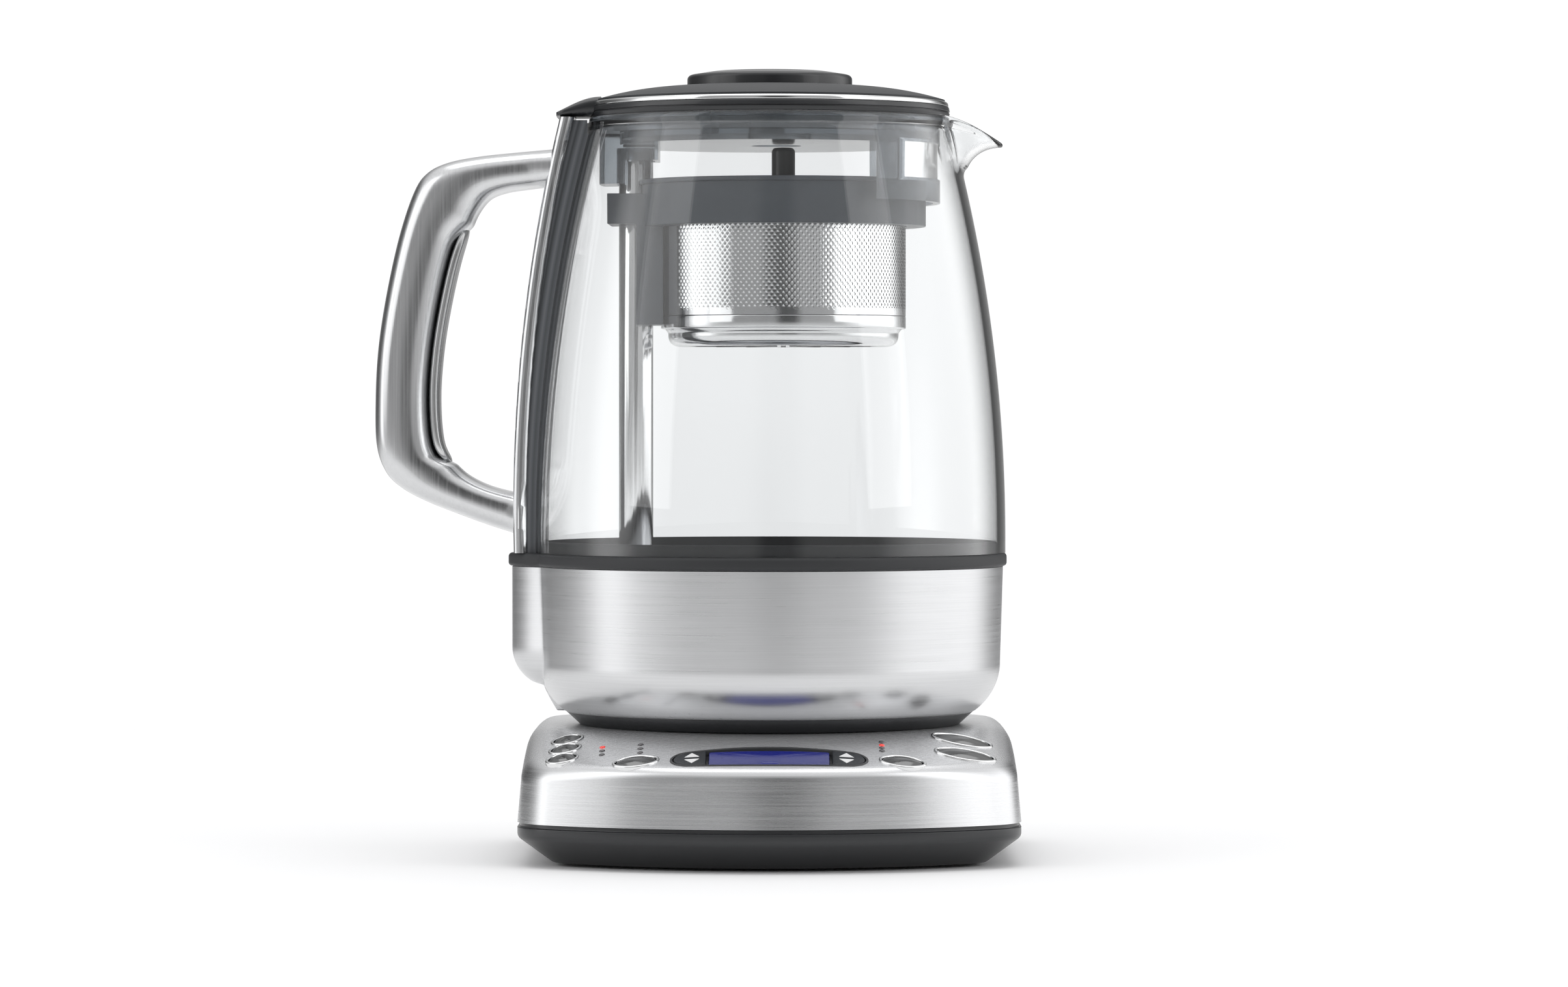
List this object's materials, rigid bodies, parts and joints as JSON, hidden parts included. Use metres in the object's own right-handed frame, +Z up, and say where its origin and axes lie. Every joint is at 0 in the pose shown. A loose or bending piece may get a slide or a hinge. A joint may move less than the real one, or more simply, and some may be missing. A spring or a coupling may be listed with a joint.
{
  "type": "all-in-one electric tea brewer",
  "caption": "Glass jug with a heated steel base and a motor-lifted tea basket inside, a handle, a spout and a lid, standing on a low power base with buttons and a display.",
  "frame": {"origin": "on the table under the jug's axis, at the base's foot", "axes": "+Z up, -Y towards the control panel at the front, +X towards the spout, -X towards the handle"},
  "size_m": [0.2116, 0.179, 0.2576],
  "materials": {
    "brushed_steel": "fine horizontal brushing",
    "polished_steel": "polished",
    "dark_chrome": "dark polished",
    "clear_glass": "clear",
    "black_plastic": "satin",
    "grey_plastic": "satin",
    "smoke_plastic": "smoky, glossy",
    "black_rubber": "matt",
    "blue_window": "glossy",
    "red_light": "clear",
    "green_board": "solder mask",
    "copper_alloy": "bright",
    "motor_steel": "satin"
  },
  "bodies": {
    "root": {"base_lower_housing": "black_plastic", "base_top_shell": "brushed_steel", "base_inner_frame": "black_plastic", "rubber_foot_ring": "black_rubber", "base_screws": "polished_steel", "cord_inlet": "black_plastic", "base_connector": "black_plastic", "base_contacts": "copper_alloy", "power_board": "green_board", "power_relay": "black_plastic", "power_transformer": "copper_alloy", "control_board": "green_board", "button_switches": "black_plastic", "display_module": "blue_window", "display_bezel": "grey_plastic", "display_window": "blue_window", "indicator_lights": "red_light", "button_surrounds": "polished_steel"},
    "jug": {"glass_jug": "clear_glass", "glass_seal_ring": "black_rubber", "jug_base_shell": "brushed_steel", "heater_plate": "brushed_steel", "heating_element": "polished_steel", "jug_foot": "black_plastic", "jug_connector": "black_plastic", "temperature_sensor": "polished_steel", "lift_motor": "motor_steel", "motor_bracket": "motor_steel", "guide_post": "polished_steel", "handle_shell": "brushed_steel", "handle_insert": "polished_steel", "handle_spine": "polished_steel", "spine_gasket": "black_rubber", "handle_screws": "polished_steel", "jug_board": "green_board"},
    "lift_screw": {"lift_screw": "polished_steel"},
    "magnet_shuttle": {"magnet_shuttle": "black_plastic"},
    "basket": {"basket_ring": "grey_plastic", "basket_magnets": "polished_steel", "basket_mesh": "brushed_steel", "basket_band": "polished_steel", "basket_base": "polished_steel"},
    "basket_lid": {"basket_lid": "grey_plastic", "basket_lid_knob": "black_plastic"},
    "lid": {"lid_knob": "smoke_plastic", "lid_top": "black_plastic", "lid_steel_ring": "brushed_steel", "lid_rim": "black_plastic", "lid_tub": "smoke_plastic", "spout_filter": "motor_steel", "lid_screws": "polished_steel"},
    "temperature_rocker": {"temperature_rocker": "grey_plastic"},
    "time_rocker": {"time_rocker": "grey_plastic"},
    "auto_start_button": {"auto_start_button": "dark_chrome"},
    "keep_warm_button": {"keep_warm_button": "dark_chrome"},
    "basket_button": {"basket_button": "dark_chrome"},
    "tea_type_button": {"tea_type_button": "dark_chrome"},
    "strength_button": {"strength_button": "dark_chrome"},
    "hot_water_button": {"hot_water_button": "dark_chrome"},
    "tea_button": {"tea_button": "dark_chrome"}
  },
  "joints": [
    {"name": "jug_lift", "type": "slide", "parent": "root", "child": "jug", "axis": [0, 0, 1], "range_m": [0, 0.06]},
    {"name": "lid_lift", "type": "slide", "parent": "jug", "child": "lid", "axis": [0, 0, 1], "range_m": [0, 0.06]},
    {"name": "basket_travel", "type": "slide", "parent": "jug", "child": "basket", "axis": [0, 0, 1], "range_m": [-0.062, 0]},
    {"name": "magnet_travel", "type": "slide", "parent": "jug", "child": "magnet_shuttle", "axis": [0, 0, 1], "range_m": [-0.062, 0]},
    {"name": "screw_turn", "type": "hinge", "parent": "jug", "child": "lift_screw", "pos_m": [-0.0441, 0, 0.15], "axis": [0, 0, 1], "range_deg": [-5600, 10]},
    {"name": "basket_lid_lift", "type": "slide", "parent": "basket", "child": "basket_lid", "axis": [0, 0, 1], "range_m": [0, 0.009]},
    {"name": "auto_start_press", "type": "slide", "parent": "root", "child": "auto_start_button", "axis": [0.1899, 0.2001, -0.9612], "range_m": [0, 0.0008], "stiffness_N_per_m": 1500},
    {"name": "keep_warm_press", "type": "slide", "parent": "root", "child": "keep_warm_button", "axis": [0.1756, 0.2128, -0.9612], "range_m": [0, 0.0008], "stiffness_N_per_m": 1500},
    {"name": "basket_press", "type": "slide", "parent": "root", "child": "basket_button", "axis": [0.1629, 0.2226, -0.9612], "range_m": [0, 0.0008], "stiffness_N_per_m": 1500},
    {"name": "tea_type_press", "type": "slide", "parent": "root", "child": "tea_type_button", "axis": [0.1038, 0.2556, -0.9612], "range_m": [0, 0.0008], "stiffness_N_per_m": 1500},
    {"name": "strength_press", "type": "slide", "parent": "root", "child": "strength_button", "axis": [-0.1038, 0.2556, -0.9612], "range_m": [0, 0.0008], "stiffness_N_per_m": 1500},
    {"name": "hot_water_press", "type": "slide", "parent": "root", "child": "hot_water_button", "axis": [-0.18, 0.209, -0.9612], "range_m": [0, 0.0008], "stiffness_N_per_m": 1500},
    {"name": "tea_press", "type": "slide", "parent": "root", "child": "tea_button", "axis": [-0.1599, 0.2248, -0.9612], "range_m": [0, 0.0008], "stiffness_N_per_m": 1500},
    {"name": "temperature_rock", "type": "hinge", "parent": "root", "child": "temperature_rocker", "pos_m": [-0.02535, -0.0842, 0.03297], "axis": [1, 0, 0], "range_deg": [-3, 3], "stiffness_Nm_per_rad": 0.2},
    {"name": "time_rock", "type": "hinge", "parent": "root", "child": "time_rocker", "pos_m": [0.02535, -0.0842, 0.03297], "axis": [1, 0, 0], "range_deg": [-3, 3], "stiffness_Nm_per_rad": 0.2}
  ],
  "couplings": [
    {"joint": "magnet_travel", "follows": "basket_travel", "ratio": 1},
    {"joint": "screw_turn", "follows": "basket_travel", "rad_per_m": 1570.8}
  ]
}
